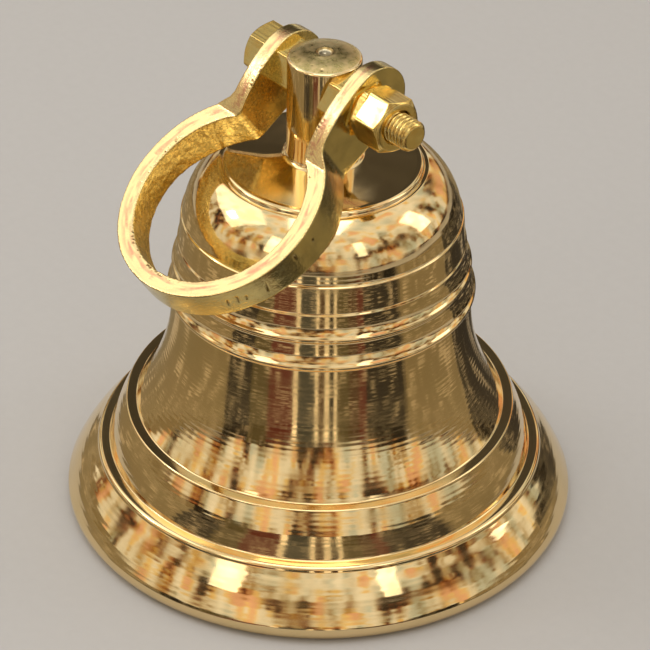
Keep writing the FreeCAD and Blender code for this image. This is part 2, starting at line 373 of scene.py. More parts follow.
def filed_top():
    """The stem's top: dull olive, scratched and pitted, with a bright worn rim and a centre mark,
    with a painted highlight in the mark and painted shade round it.
    """
    r = Recipe("filed_top")
    scratches = r.noise(1, 3, r.stretched((0.25, 2.5, 1.0)))
    blotch = r.noise(2.2, 6, roughness=0.65)
    dents = r.noise(1.6, 3)
    flat = r.node("ShaderNodeMapping", {"Vector": r.place, "Scale": (1.0, 1.0, 0.0)})
    radius = r.node("ShaderNodeVectorMath", {0: flat}, output="Value", operation="LENGTH")
    rim = r.ramp(radius, 0, 1, 8.4 * MM, 8.9 * MM)
    # Painted highlight: a bright spot in the middle of the centre mark.
    mark = r.ramp(radius, 1, 0, 1.4 * MM, 1.8 * MM)
    round_mark = r.ramp(radius, 1, 0, 2.1 * MM, 2.8 * MM)
    ring = r.math("MULTIPLY", round_mark, r.math("SUBTRACT", 1, mark))
    colour = r.mix_colour(r.ramp(blotch, 0, 1, 0.42, 0.6), OLIVE_BRASS, GREEN_BRASS)
    # Painted shade: a dark brown ring round the centre mark, then the worn rim and the mark's painted
    # highlight over it.
    colour = r.mix_colour(r.math("MULTIPLY", ring, 0.7), colour, DARK_BROWN)
    colour = r.mix_colour(r.math("MAXIMUM", rim, mark), colour, WORN_BRASS_AND_HIGHLIGHT)
    roughness = r.ramp(blotch, 0.2, 0.42, 0.3, 0.7)
    pits = r.node("ShaderNodeTexVoronoi", {"Vector": r.place, "Scale": 1 / (5.5 * MM)})
    pitted = r.ramp(pits, 0, 1, 0.05, 0.11)
    normal = r.bump(scratches, 0.02, under=r.bump(dents, 0.08, under=r.bump(pitted, 0.12)))
    return r.metal(colour, roughness, normal)


def cast_brass():
    """The shackle: filed edge faces with rosy tarnish, a rough inside, and bright worn corners."""
    r = Recipe("cast_brass")
    filed, inner, wear = r.attribute("filed"), r.attribute("inner"), r.attribute("wear")
    tarnish, nick = r.attribute("tarnish"), r.attribute("nick")
    blotch = r.noise(5, 5)
    grain = r.noise(0.7, 5)
    streaks = r.noise(2.2, 6, roughness=0.7)
    body = r.mix_colour(r.ramp(blotch, 0.3, 1, 0.35, 0.65), YELLOW_BRASS, OLIVE_BRASS)
    rough_inside = r.mix_colour(r.ramp(grain, 0, 1, 0.4, 0.6), YELLOW_BRASS, OLIVE_BRASS)
    stained = r.math("MULTIPLY", tarnish, r.ramp(streaks, 0.5, 1, 0.35, 0.55))
    edge_face = r.mix_colour(stained, CREAM_BRASS, ROSE_TARNISH)
    colour = r.mix_colour(inner, body, rough_inside)
    colour = r.mix_colour(filed, colour, edge_face)
    colour = r.mix_colour(r.math("MULTIPLY", wear, 0.6), colour, CREAM_BRASS)
    # The nicks and the pits are painted dark brown.
    colour = r.mix_colour(nick, colour, DARK_BROWN)
    base = r.ramp(blotch, 0.08, 0.22, 0.3, 0.7)
    roughness = r.math("ADD", base, r.math("MULTIPLY", inner, r.ramp(grain, 0.0, 0.2)))
    roughness = r.math("ADD", roughness, r.math("MULTIPLY", filed, 0.08), clamp=True)
    normal = r.bump(grain, 0.05, under=r.bump(streaks, 0.03))
    return r.metal(colour, roughness, normal)


def bright_brass():
    """Bolt and nuts: yellow brass, turned faces, small scratches, painted shade and dirt in the
    thread.
    """
    r = Recipe("bright_brass")
    blotch = r.noise(3, 4)
    scratches = r.noise(0.5, 5)
    thread_shade_and_dirt = r.attribute("thread_shade_and_dirt")
    colour = r.mix_colour(r.ramp(blotch, 0, 1, 0.35, 0.7), YELLOW_BRASS, ORANGE_BRASS)
    # Painted shade and dirt: the thread's valleys are darkened towards dark brown, the deeper the
    # darker.
    colour = r.mix_colour(r.math("MULTIPLY", thread_shade_and_dirt, 0.55), colour, DARK_BROWN)
    roughness = r.ramp(blotch, 0.12, 0.26, 0.3, 0.7)
    centred = r.node("ShaderNodeVectorMath", {0: r.place, 1: BOLT_AXIS * MM}, operation="SUBTRACT")
    across = r.node("ShaderNodeMapping", {"Vector": centred, "Scale": (0.0, 1.0, 1.0)})
    distance = r.node("ShaderNodeVectorMath", {0: across}, output="Value", operation="LENGTH")
    turned_rings = r.math("SINE", r.math("MULTIPLY", distance, math.tau / (TURNING_PITCH * MM)))
    normal = r.bump(turned_rings, 0.004, under=r.bump(scratches, 0.012))
    return r.metal(colour, roughness, normal)


def satin_brass():
    """The clapper: cast and turned brass that was never polished."""
    r = Recipe("satin_brass")
    blotch = r.noise(4, 5)
    grain = r.noise(0.4, 4)
    colour = r.mix_colour(r.ramp(blotch, 0, 1, 0.35, 0.7), YELLOW_BRASS, OLIVE_BRASS)
    roughness = r.ramp(blotch, 0.24, 0.42, 0.3, 0.7)
    return r.metal(colour, roughness, r.bump(grain, 0.02))


def drawn_steel():
    """The eye, its nut and the link: dull drawn steel."""
    r = Recipe("drawn_steel")
    blotch = r.noise(2.5, 5)
    drawn = r.noise(0.5, 4)
    colour = r.mix_colour(r.ramp(blotch, 0, 1, 0.35, 0.7), LIGHT_STEEL, DARK_STEEL)
    roughness = r.ramp(blotch, 0.28, 0.48, 0.3, 0.7)
    return r.metal(colour, roughness, r.bump(drawn, 0.02))


# ---- bell ----------------------------------------------------------------------------------------
BELL_SEGMENTS = 256
STEM_RADIUS = 9.2
STEM_RIM = 129.6
STEM_DOME = 1.4
STEM_TOP = STEM_RIM + STEM_DOME
STEM_CHAMFER = 0.3
CROWN_HEIGHT = 102.4
CROWN_EDGE = (25.0, 100.5)
LIP_RADIUS = 65.5
LIP_INSIDE = (59.4, 1.2)
INNER_CROWN = (22.0, 95.6)
BOLT_HOLE = 4.05
BOLT_HOLE_EDGE = 1.2           # how far the rounding of its mouths reaches
CROWN_HOLE = 3.05
MARK_RISE = 0.06
POLISHED, CAST, FILED = range(3)


def crown_outline():
    """Domed stem top with its centre mark, the stem, and the crown out to its double edge line."""
    return [
        (0.35, STEM_TOP - 0.62),
        (1.5, STEM_TOP - 0.55),
        (2.0, STEM_TOP - 0.14),
        (2.35, STEM_TOP - 0.02, MARK_RISE),
        (2.8, STEM_TOP - 0.13),
        (STEM_RADIUS - STEM_CHAMFER, STEM_RIM, 0.28),
        (STEM_RADIUS, STEM_RIM - STEM_CHAMFER),
        (STEM_RADIUS, CROWN_HEIGHT + 1.5),
        (STEM_RADIUS + 1.5, CROWN_HEIGHT, -quarter(1.5)),
        (CROWN_EDGE[0] - 1.5, CROWN_EDGE[1] + 0.02),
        (CROWN_EDGE[0] - 0.1, CROWN_EDGE[1] - 0.5, 0.3),
        (CROWN_EDGE[0], 99.5),
        (CROWN_EDGE[0] + 0.15, 99.15),
        (CROWN_EDGE[0] + 0.55, 99.35),
        (26.1, 99.3),
    ]


def dome_and_collar_outline():
    """Dome, the collar's upper edge and groove, and its two rims."""
    steps = [
        (34.8, 86.3, 1.9),
        (35.0, 85.75),
        (35.4, 85.3, quarter(0.4)),
        (35.9, 78.6),
        (36.15, 78.15),
        (36.35, 78.1),
    ]
    for rim_radius, rim_height in ((37.8, 71.7), (39.0, 64.3)):
        steps.append((rim_radius - 0.5, rim_height + 0.8, -0.6))
        steps.append((rim_radius - 0.5, rim_height - 0.8, 0.5))
    return steps


def waist_to_lip_outline():
    """Hollow waist, upper ledge, flare, lower ledge, and the lip band down to its foot."""
    return [
        (37.9, 63.1),
        (47.1, 29.75, -2.6),
        (47.3, 29.5),
        (49.6, 29.6),
        (50.1, 29.1, quarter(0.5)),
        (54.35, 17.6, 0.45),
        (54.6, 17.3),
        (54.85, 17.4),
        (56.4, 17.4),
        (57.6, 16.2, quarter(1.2)),
        (LIP_RADIUS, 4.6, 0.6),
        (62.6, 0.02, 1.3),
        (60.6, 0.02),
        (*LIP_INSIDE, quarter(1.2)),
    ]


def inside_outline():
    """The hollow, from inside the lip up to the middle of the crown."""
    return [
        (49.9, 17.0, -1.0),
        (43.4, 30.5, -0.4),
        (34.2, 63.0, 1.7),
        (31.0, 86.5),
        (*INNER_CROWN, -2.4),
        (0, INNER_CROWN[1]),
    ]


def inside_radius(height):
    """Radius of the hollow at this height."""
    points = outline(LIP_INSIDE, inside_outline())[:-1]
    return np.interp(height, [p.y for p in points], [p.x for p in points])


def drill_bell(piece, eye_top):
    """Drills the stem across for the bolt, and the crown from inside up to eye_top."""
    reach = 2 * STEM_RADIUS
    mouth = STEM_RADIUS + 0.2
    drill = turned("drill", outline((0, -reach), [
        (BOLT_HOLE + BOLT_HOLE_EDGE, -reach),
        (BOLT_HOLE + 0.5, -mouth),
        (BOLT_HOLE, -mouth + BOLT_HOLE_EDGE),
        (BOLT_HOLE, mouth - BOLT_HOLE_EDGE),
        (BOLT_HOLE + 0.5, mouth),
        (BOLT_HOLE + BOLT_HOLE_EDGE, reach),
        (0, reach),
    ]), 64, along=X_AXIS, centre=BOLT_AXIS)
    combine(piece, drill, "DIFFERENCE")
    eye_hole = turned("eye_hole", outline((0, 80), [
        (CROWN_HOLE + 0.5, INNER_CROWN[1] - 1),
        (CROWN_HOLE, INNER_CROWN[1] + 0.5),
        (CROWN_HOLE, eye_top),
        (0, eye_top),
    ]), 48)
    combine(piece, eye_hole, "DIFFERENCE")


def bell_material(centre, eye_top):
    """Which of the bell's three materials the face with this middle takes."""
    radius = math.hypot(centre.x, centre.y)
    in_eye_hole = radius < CROWN_HOLE + 0.75 and centre.z < eye_top + 0.3
    in_hollow = centre.z < INNER_CROWN[1] + 0.5 and radius < inside_radius(centre.z) + 0.7
    on_stem_top = centre.z > STEM_RIM + 0.02 and radius < STEM_RADIUS - 0.5
    if in_eye_hole or in_hollow:
        return CAST
    return FILED if on_stem_top else POLISHED


def bell():
    steps = crown_outline() + dome_and_collar_outline() + waist_to_lip_outline() + inside_outline()
    points = softened(outline((0, STEM_TOP - 0.8), steps), passes=8)
    piece = turned("polished_bell", points, BELL_SEGMENTS)
    eye_top = box_mm("crown_eye")[1].z + 0.6
    drill_bell(piece, eye_top)
    finish_piece(piece, "bell_body", "bell", "bell_brass",
                 polished_brass(), cast_inside(), filed_top())
    for face in piece.data.polygons:
        face.material_index = bell_material(face.center / MM, eye_top)


# ---- hexagons and threads ------------------------------------------------------------------------
HEX_FLATS = 13.0
HEX_FACE_SHARE = 0.93
HEX_SEGMENTS = 360
HEX_EDGE_BEVEL = 0.12
CHAMFER_SLOPE = math.tan(math.radians(35))
CHAMFER_ROWS = 14
THREAD_PITCH = 1.25
THREAD_RADIUS = 4.0
THREAD_DEPTH = 0.45
THREAD_ROWS = 14               # rings of points per turn of thread
THREAD_SHARPNESS = 1.5         # over 1, the valleys are narrower than the crests
THREAD_SOFTENING = 0.15
BORE_CHAMFER = 0.5


def soft_min(a, b, blend):
    """The smaller of two lengths, with the corner between them rounded off."""
    gap = max(blend - abs(a - b), 0) / blend
    return min(a, b) - gap * gap * blend / 4


def hexagon_limit(flats, turn):
    """Keeps a round outline within a hexagon whose first corner stands at this angle."""
    def shape(radius, distance, angle):
        sixth = math.pi / 3
        off_face = (angle - math.radians(turn)) % sixth - sixth / 2
        side = flats / 2 / math.cos(off_face)
        if radius < flats / 2 - HEX_EDGE_BEVEL:
            return radius
        return soft_min(radius, side, HEX_EDGE_BEVEL)
    return shape


def hexagon_rows(flats, near, far):
    """Outside of a hexagon as rows of points along the bolt. Its near face only has its edge
    taken off, and its far face is chamfered."""
    corner = flats / math.sqrt(3) - HEX_EDGE_BEVEL / 4
    face = flats / 2 * HEX_FACE_SHARE
    bevel = math.copysign(HEX_EDGE_BEVEL, far - near)
    depth = (corner - face) * CHAMFER_SLOPE * math.copysign(1, far - near)
    chamfer = [Vector((face, far)).lerp(Vector((corner, far - depth)), i / CHAMFER_ROWS)
               for i in range(CHAMFER_ROWS + 1)]
    start = [Vector((corner - 2 * HEX_EDGE_BEVEL, near)), Vector((corner, near + bevel))]
    return start + chamfer[::-1]


def nut(name, flats, bore, near, far, turn, along, centre):
    """A nut, chamfered on its far side, with a small entry chamfer at each end of its bore."""
    wide = bore + BORE_CHAMFER
    way = math.copysign(BORE_CHAMFER, far - near)
    inside = [(wide, far), (bore, far - way), (bore, near + way), (wide, near)]
    points = hexagon_rows(flats, near, far) + [Vector(p) for p in inside]
    return turned(name, points, HEX_SEGMENTS, along, centre, hexagon_limit(flats, turn), True)


def thread_shape(radius, depth, pitch, start, end):
    """shape() that cuts a thread of this pitch between two distances along the bolt."""
    def shape(point_radius, distance, angle):
        if distance < start or distance > end or point_radius < radius / 2:
            return point_radius
        turn = distance / pitch - angle / math.tau
        groove = depth * (0.5 + 0.5 * math.cos(math.tau * turn)) ** THREAD_SHARPNESS
        fade = min(1, (distance - start) / pitch)
        return soft_min(point_radius, radius - groove * fade, THREAD_SOFTENING)
    return shape


def mark_valleys(piece, centre, radius, depth, start):
    """Writes how deep each vertex lies below the thread's crest, for the painted shade and dirt in
    the thread.
    """
    values = []
    for vertex in piece.data.vertices:
        place = vertex.co / MM - centre
        off_axis = math.hypot(place.y, place.z)
        deep = (radius - off_axis) / depth if off_axis > radius - depth * 1.1 else 0
        values.append(min(1, max(0, deep)) if place.x > start else 0)
    store(piece, "thread_shade_and_dirt", values)


def store(piece, name, values):
    layer = piece.data.attributes.new(name, "FLOAT", "POINT")
    layer.data.foreach_set("value", np.asarray(values, dtype=np.float32))


HEAD_TURN = 47.0
JAM_NUT_TURN = 7.0
LOCK_NUT_TURN = 13.0
BOLT_THREAD_LENGTH = 22.0
BOLT_END_CHAMFER = 1.1
BOLT_END_ROWS = 6
HEAD_INSET = 0.02


def turn_on_bolt(turn):
    """Angle of a hexagon's first corner, counted from +Y as turned() counts it."""
    return 180 - turn


def bolt(brass, centre):
    low, high = box_mm("shackle_bolt")
    under_head = -box_mm("jam_nut")[0].x
    thread_start = high.x - BOLT_THREAD_LENGTH
    chamfer_start = high.x - BOLT_END_CHAMFER
    head_limit = hexagon_limit(HEX_FLATS, turn_on_bolt(HEAD_TURN))
    cut_thread = thread_shape(THREAD_RADIUS, THREAD_DEPTH, THREAD_PITCH, thread_start, high.x)

    def shape(radius, distance, angle):
        outside = head_limit if distance <= -under_head else cut_thread
        return outside(radius, distance, angle)

    head = hexagon_rows(HEX_FLATS, -under_head, low.x + HEAD_INSET)[::-1]
    spacing = THREAD_PITCH / THREAD_ROWS
    count = math.floor((chamfer_start - thread_start) / spacing)
    shank = [Vector((THREAD_RADIUS, -under_head + 1e-3))]
    shank += [Vector((THREAD_RADIUS, thread_start + spacing * i)) for i in range(count + 1)]
    end = []
    for i in range(1, BOLT_END_ROWS + 1):
        share = i / BOLT_END_ROWS
        end.append(Vector((THREAD_RADIUS - BOLT_END_CHAMFER * share ** 1.5,
                           high.x - BOLT_END_CHAMFER * (1 - share))))
    end += [Vector((radius, high.x)) for radius in (2.4, 1.2, 0)]
    points = [Vector((0, low.x + HEAD_INSET))] + head + shank + end
    piece = turned("threaded_bolt", points, HEX_SEGMENTS, X_AXIS, centre, shape)
    mark_valleys(piece, BOLT_AXIS, THREAD_RADIUS, THREAD_DEPTH, thread_start)
    finish_piece(piece, "shackle_bolt", "bolt", "fastener_brass", brass)


def bolt_and_nuts():
    brass = bright_brass()
    centre = Vector((0, 0, BOLT_AXIS.z))
    bolt(brass, centre)
    met = box_mm("lock_nut")[0].x
    ends = (("jam_nut", box_mm("jam_nut")[0].x, JAM_NUT_TURN),
            ("lock_nut", box_mm("lock_nut")[1].x, LOCK_NUT_TURN))
    for node, far, turn in ends:
        piece = nut("chamfered_" + node, HEX_FLATS, THREAD_RADIUS + 0.05, met, far,
                    turn_on_bolt(turn), X_AXIS, centre)
        finish_piece(piece, node, "bolt", "fastener_brass", brass)


# ---- shackle -------------------------------------------------------------------------------------
SHACKLE_DROP = math.radians(33.5)
SHACKLE_VOXEL = 0.24
LOOP_CENTRE = 38.0
STRAP_MIDDLE = 25.6            # radius of the middle of the strap, round the loop
ARM_MIDDLE = 14.3              # the same on the arms, from the shackle's middle plane
ARMS_END = 16.0                # out from the bolt, where the arms turn into the loop
SURFACE_INSET = 0.06           # sets the uneven surface back by about its own height
NICK_DEPTH = 0.25
CUT_WIDTH = 0.24
CUT_WAY = (0.15, -0.15, 1.0)
CUTS = [                       # (middle of the cut, half its length)
    ((19.9, 57.6, -2.7), 1.1),
    ((21.7, 55.6, -2.6), 1.3),
    ((22.9, 53.9, -3.2), 0.8),
    ((25.8, 49.0, -2.8), 1.6),
    ((27.9, 39.8, -1.2), 0.8),
    ((27.6, 33.6, -2.3), 0.6),
]


def shackle_places(points):
    """Each point as (across, along, above): along the bolt, out from the bolt towards the loop's
    end, and above the loop's plane."""
    away = Vector((0, -math.cos(SHACKLE_DROP), -math.sin(SHACKLE_DROP)))
    above = Vector((0, -math.sin(SHACKLE_DROP), math.cos(SHACKLE_DROP)))
    turn = np.array([X_AXIS, away, above])
    return (points - np.array(BOLT_AXIS)) @ turn.T, turn


def smooth_step(low, high, values):
    share = np.clip((values - low) / (high - low), 0, 1)
    return share * share * (3 - 2 * share)


def noise_at(points, size_mm, seed):
    offset = Vector((seed * 7.3, seed * 3.1, seed * 5.7))
    return np.array([noise.noise(Vector(p) / size_mm + offset) for p in points])


def convexity(mesh, points, normals):
    """How far the surface bends outwards at each vertex: 0 when flat, more along an edge."""
    edges = np.array([e.vertices[:] for e in mesh.edges])
    a, b = edges.T
    way = points[b] - points[a]
    way /= np.linalg.norm(way, axis=1)[:, None]
    total = np.zeros(len(points))
    count = np.zeros(len(points))
    np.add.at(total, a, -np.einsum("ij,ij->i", normals[a], way))
    np.add.at(total, b, np.einsum("ij,ij->i", normals[b], way))
    np.add.at(count, a, 1)
    np.add.at(count, b, 1)
    bend = total / count
    for _ in range(3):
        blurred = np.zeros(len(points))
        np.add.at(blurred, a, bend[b])
        np.add.at(blurred, b, bend[a])
        bend = bend / 2 + blurred / count / 2
    return bend


def rounded_copy(source):
    """The design's shackle on a fine, even mesh with its edges worn round."""
    piece = bpy.data.objects.new("cast_shackle", source.data.copy())
    bpy.context.scene.collection.objects.link(piece)
    piece.data.materials.clear()
    remesh = piece.modifiers.new("remesh", "REMESH")
    remesh.mode = "VOXEL"
    remesh.voxel_size = SHACKLE_VOXEL * MM
    relax = piece.modifiers.new("relax", "SMOOTH")
    relax.factor = 0.5
    relax.iterations = 10
    apply_modifiers(piece)
    return piece


def facing_inside(places, facing):
    """From 0 to 1, how much each vertex faces the inside of the loop, or the other arm."""
    to_centre = np.stack([-places[:, 0], LOOP_CENTRE - places[:, 1]], axis=1)
    to_centre[places[:, 1] < ARMS_END, 1] = 0
    to_centre /= np.linalg.norm(to_centre, axis=1)[:, None] + 1e-9
    towards = facing[:, 0] * to_centre[:, 0] + facing[:, 1] * to_centre[:, 1]
    return smooth_step(0.3, 0.7, towards)


def shackle():
    piece = rounded_copy(frame["nodes"]["shackle"])
    mesh = piece.data
    points = np.array([v.co for v in mesh.vertices]) / MM
    normals = np.array([v.normal for v in mesh.vertices])
    places, turn = shackle_places(points)
    facing = normals @ turn.T
    filed = smooth_step(0.75, 0.93, np.abs(facing[:, 2]))
    inner = facing_inside(places, facing)
    wear = smooth_step(0.06, 0.16, convexity(mesh, points, normals))
    tarnish, pits = marks_on_edge_face(places)
    nick = np.maximum(nicks(places), pits * filed)
    for name, values in (("filed", filed), ("inner", inner), ("wear", wear),
                         ("tarnish", tarnish), ("nick", nick)):
        store(piece, name, values)
    coarse = noise_at(places, 7, 1)
    medium = noise_at(places, 2.2, 2)
    fine = noise_at(places, 0.9, 3)
    rough_inside = inner * smooth_step(12, 20, places[:, 1])
    height = 0.08 * coarse + 0.02 * medium - NICK_DEPTH * nick - SURFACE_INSET
    height += rough_inside * (0.08 * medium + 0.05 * fine)
    points += normals * height[:, None]
    mesh.vertices.foreach_set("co", (points * MM).astype(np.float32).ravel())
    mesh.update()
    finish_piece(piece, "shackle", "shackle", "shackle_brass", cast_brass())


def marks_on_edge_face(places):
    """Reddish streaks that run along the middle of the filed face, and pits near its inner edge,
    both from 0 to 1. Round the loop they follow its curve, and on the arms they run straight."""
    across, along = places[:, 0], places[:, 1] - LOOP_CENTRE
    in_loop = smooth_step(14, 20, places[:, 1])
    from_middle = np.hypot(across, along) - STRAP_MIDDLE
    round_loop = np.arctan2(along, across) * STRAP_MIDDLE
    from_middle = from_middle * in_loop + (np.abs(across) - ARM_MIDDLE) * (1 - in_loop)
    way = round_loop * in_loop + places[:, 1] * (1 - in_loop)
    unrolled = np.stack([way / 4.5, from_middle * 1.3, np.sign(across) * 9], axis=1)
    streak = noise_at(unrolled, 1, 4)
    band = np.exp(-((from_middle + 0.3) / 1.3) ** 2)
    tarnish = band * smooth_step(-0.25, 0.25, streak)
    spots = noise_at(np.stack([way, from_middle, way * 0], axis=1), 0.55, 5)
    inner_edge = np.exp(-((from_middle + 1.8) / 0.5) ** 2)
    pitted_stretches = smooth_step(-0.1, 0.3, noise_at(places, 9, 6))
    pits = inner_edge * smooth_step(0.28, 0.45, spots) * pitted_stretches
    return tarnish, pits


def nicks(places):
    """Depth, from 0 to 1, of the short cuts across the outside of the strap."""
    depth = np.zeros(len(places))
    way = np.array(CUT_WAY) / np.linalg.norm(CUT_WAY)
    for middle, half_length in CUTS:
        offset = places - np.array(middle)
        run = offset @ way
        aside = np.linalg.norm(offset - run[:, None] * way, axis=1)
        reach = np.exp(-(aside / CUT_WIDTH) ** 2) * np.exp(-(run / half_length) ** 4)
        depth = np.maximum(depth, reach)
    return depth


# ---- clapper and what it hangs from --------------------------------------------------------------
ROD_RADIUS = 2.5
BALL_RADIUS = 12.5
BALL_HALF_LENGTH = 11.9
EYE_WIDTH = 3.6
EYE_HOLE = 2.0
EYE_RADIUS = 4.8
EYE_BEVEL = 0.5
SEAM_HEIGHT = 0.12
SEAM_WIDTH = 0.5
CAST_UNEVENNESS = 0.1
CAST_INSET = 0.15              # makes room for the seam and the unevenness
BALL_NUT_FLATS = 8.0
CROWN_NUT_FLATS = 10.0
ROD_PITCH = 0.8
ROD_THREAD_LENGTH = 7
ROD_THREAD_DEPTH = 0.35
ROD_THREAD_ROWS = 10           # rings of points per turn of thread
COLLAR_RADIUS = 4.4
COLLAR_HEIGHT = 2.0
COLLAR_GAP = 0.02              # between the collar and the ball


def clapper():
    brass = satin_brass()
    ball_low, ball_high = box_mm("clapper_ball")
    nut_low, nut_high = box_mm("clapper_nut")
    flat = math.sqrt(BALL_RADIUS ** 2 - BALL_HALF_LENGTH ** 2)
    bore = ROD_RADIUS + 0.05

    def seam(radius, distance, angle):
        """A faint casting seam over the ball, and its slightly uneven cast surface."""
        if radius <= bore + 0.5:
            return radius
        near = math.exp(-(math.sin(angle) * radius / SEAM_WIDTH) ** 2)
        place = Vector((math.cos(angle) * radius, math.sin(angle) * radius, distance))
        rough = noise.noise(place / 5)
        return radius + SEAM_HEIGHT * near + CAST_UNEVENNESS * rough - CAST_INSET

    points = softened(outline((bore, ball_low.z), [
        (flat, ball_low.z),
        (flat, ball_high.z, -(BALL_RADIUS - flat)),
        (bore, ball_high.z),
    ]), passes=3)
    ball = turned("cast_ball", points, 128, shape=seam, closed=True)
    finish_piece(ball, "clapper_ball", "clapper", "clapper_brass", brass)
    piece = nut("ball_nut", BALL_NUT_FLATS, bore, nut_high.z, nut_low.z, 0, Z_AXIS, Vector())
    finish_piece(piece, "clapper_nut", "clapper", "clapper_brass", brass)
    rod(brass, box_mm("clapper_rod")[0].z, ball_high.z)


def rod(brass, bottom, ball_top):
    """Rod with a collar over the ball, a thread at its foot, and a forged eye at its top."""
    thread_top = bottom + ROD_THREAD_LENGTH
    spacing = ROD_PITCH / ROD_THREAD_ROWS
    foot = [Vector((ROD_RADIUS - 0.5 + 0.5 * i / 3, bottom + 0.5 * i / 3)) for i in range(4)]
    start = foot[-1].y
    count = math.floor((thread_top - start) * ROD_THREAD_ROWS / ROD_PITCH)
    foot += [Vector((ROD_RADIUS, start + spacing * i)) for i in range(1, count)]
    top = LINK_AXIS.z - EYE_HOLE - 1.2
    rest = softened(outline((ROD_RADIUS, thread_top), [
        (ROD_RADIUS, ball_top + COLLAR_GAP),
        (COLLAR_RADIUS, ball_top + COLLAR_GAP),
        (COLLAR_RADIUS, ball_top + COLLAR_HEIGHT),
        (ROD_RADIUS, ball_top + COLLAR_HEIGHT),
        (ROD_RADIUS - 0.2, (top + ball_top) / 2),
        (ROD_RADIUS, top - 3),
        (ROD_RADIUS, top),
        (0, top),
    ]), passes=5)
    piece = turned("forged_rod", [Vector((0, bottom))] + foot + rest, 96,
                   shape=thread_shape(ROD_RADIUS, ROD_THREAD_DEPTH, ROD_PITCH, bottom, thread_top))
    half = EYE_WIDTH / 2
    hole = EYE_HOLE + 0.3
    eye_points = softened(outline((hole, -half), [
        (EYE_RADIUS - EYE_BEVEL, -half),
        (EYE_RADIUS, -half + EYE_BEVEL),
        (EYE_RADIUS, half - EYE_BEVEL),
        (EYE_RADIUS - EYE_BEVEL, half),
        (hole, half),
        (EYE_HOLE, half - EYE_BEVEL),
        (EYE_HOLE, -half + EYE_BEVEL),
        (hole, -half),
    ]), passes=4)[:-1]
    eye = turned("forged_eye", eye_points, 96, Y_AXIS, LINK_AXIS, closed=True)
    combine(piece, eye, "UNION")
    finish_piece(piece, "clapper_rod", "clapper", "clapper_brass", brass)


def hanger():
    """The nut in the crown, and the design's own eye and link in steel."""
    steel = drawn_steel()
    low, high = box_mm("eye_nut")
    piece = nut("crown_nut", CROWN_NUT_FLATS, CROWN_HOLE, high.z, low.z, 0, Z_AXIS, Vector())
    finish_piece(piece, "eye_nut", "bell", "hanger_steel", steel)
    for node in ("crown_eye", "hanger_link"):
        wire = frame["nodes"][node]
        shade(wire.data)
        wire.data.materials.clear()
        wire.data.materials.append(steel)


# ---- camera, floor and lights --------------------------------------------------------------------
VIEW_AZIMUTH = math.radians(49.0)
VIEW_ELEVATION = math.radians(34.58)
VIEW_ROLL = math.radians(0.91)
VIEW_DISTANCE = 842.0
VIEW_TARGET = Vector((0.70, 0.81, 50.8))
LENS_MM = 182.8
SENSOR_MM = 36.0

FLOOR_HALF = 2500
FLOOR_GREYS = (rgb(0.48, 0.49, 0.51), rgb(0.51, 0.52, 0.54))

LIGHT_TARGET = Vector((0, 0, 60))
WHITE = (1.0, 0.98, 0.95)
WARM = (1.0, 0.97, 0.92)
WARMER = (1.0, 0.93, 0.82)
LIGHTS = [     # (name, degrees right of the camera, elevation, distance, width, height, power, tint)
    ("left_light", -108, 44, 1000, 800, 600, 1.5, WARM),
    ("nut_light", -97, 36, 980, 120, 120, 0.45, WARM),
    ("top_light", -10, 78, 1100, 600, 500, 1.8, WHITE),
    ("front_left_light", -42, 34, 1100, 240, 460, 0.6, WARMER),
    ("front_right_light", 34, 34, 1100, 140, 420, 0.3, WARMER),
    ("right_light", 95, 30, 1100, 260, 560, 0.8, WARM),
]

BLACK = (0.015, 0.013, 0.010)
BROWN = (0.10, 0.05, 0.02)
RED = (0.16, 0.03, 0.02)
SLATE = (0.08, 0.09, 0.09)
SAND = (0.34, 0.29, 0.18)
OLIVE = (0.13, 0.11, 0.05)
DIM = (0.10, 0.085, 0.055)
CREAM = (0.85, 0.76, 0.60)
LAMP = (0.84, 0.75, 0.58)
CARD_DISTANCE = 380
CARD_FOOT = 1
TABLE_START = 95
TABLE_END = 600
TABLE_HEIGHT = 0.5
TABLE_SEGMENTS = 64
STRIP_GLOW = 0.35
STRIP_TONE = 0.6
CARDS = [      # (from, to, height, shade), in degrees to the right of the camera
    (-178, -150, 27, SAND),
    (-150, -120, 23, SAND),
    (-120, -92, 30, SAND),
    (-92, -62, 24, SAND),
    (-62, -45, 34, BLACK),
    (-45, -33, 44, OLIVE),
    (-33, -17, 37, RED),
    (-17, -14, 34, LAMP),
    (-14, -3, 48, SLATE),
    (-3, -1, 41, LAMP),
    (-1, 3, 37, BROWN),
    (3, 6, 33, LAMP),
    (6, 9, 42, BLACK),
    (9, 11, 35, LAMP),
    (11, 19, 41, OLIVE),
    (19, 25, 34, BROWN),
    (25, 30, 29, RED),
    (30, 56, 37, BLACK),
    (58, 78, 27, SAND),
    (78, 104, 23, SAND),
    (104, 148, 41, BLACK),
    (148, 180, 31, SAND),
]

DRAPE_HALF = 490
DRAPE_DISTANCE = 1300
DRAPE_ELEVATION = math.radians(34)
DRAPE_FADE = (380, 480)        # distances from its middle where it starts to thin out and is gone
DRAPE_FOLDS = (rgb(0.02, 0.018, 0.016), rgb(0.17, 0.165, 0.145))

PATCH_STRENGTH = 1.25
SKY_LIFT = [(0.0, 0.0), (0.04, 0.17), (0.28, 0.17), (0.42, 0.10), (1.0, 0.45)]
SKY_COLOURS = [
    (0.62, rgb(0.05, 0.035, 0.025)),
    (0.66, rgb(0.25, 0.09, 0.05)),
    (0.70, rgb(0.46, 0.34, 0.17)),
    (0.79, rgb(0.80, 0.75, 0.66)),
    (1.0, rgb(1.0, 0.97, 0.92)),
]
SKY_TINTS = [
    (0.36, rgb(0.70, 0.80, 0.86)),
    (0.44, rgb(1, 1, 1)),
    (0.54, rgb(1, 1, 1)),
    (0.59, rgb(1.0, 0.76, 0.32)),
    (0.64, rgb(0.95, 0.58, 0.42)),
]


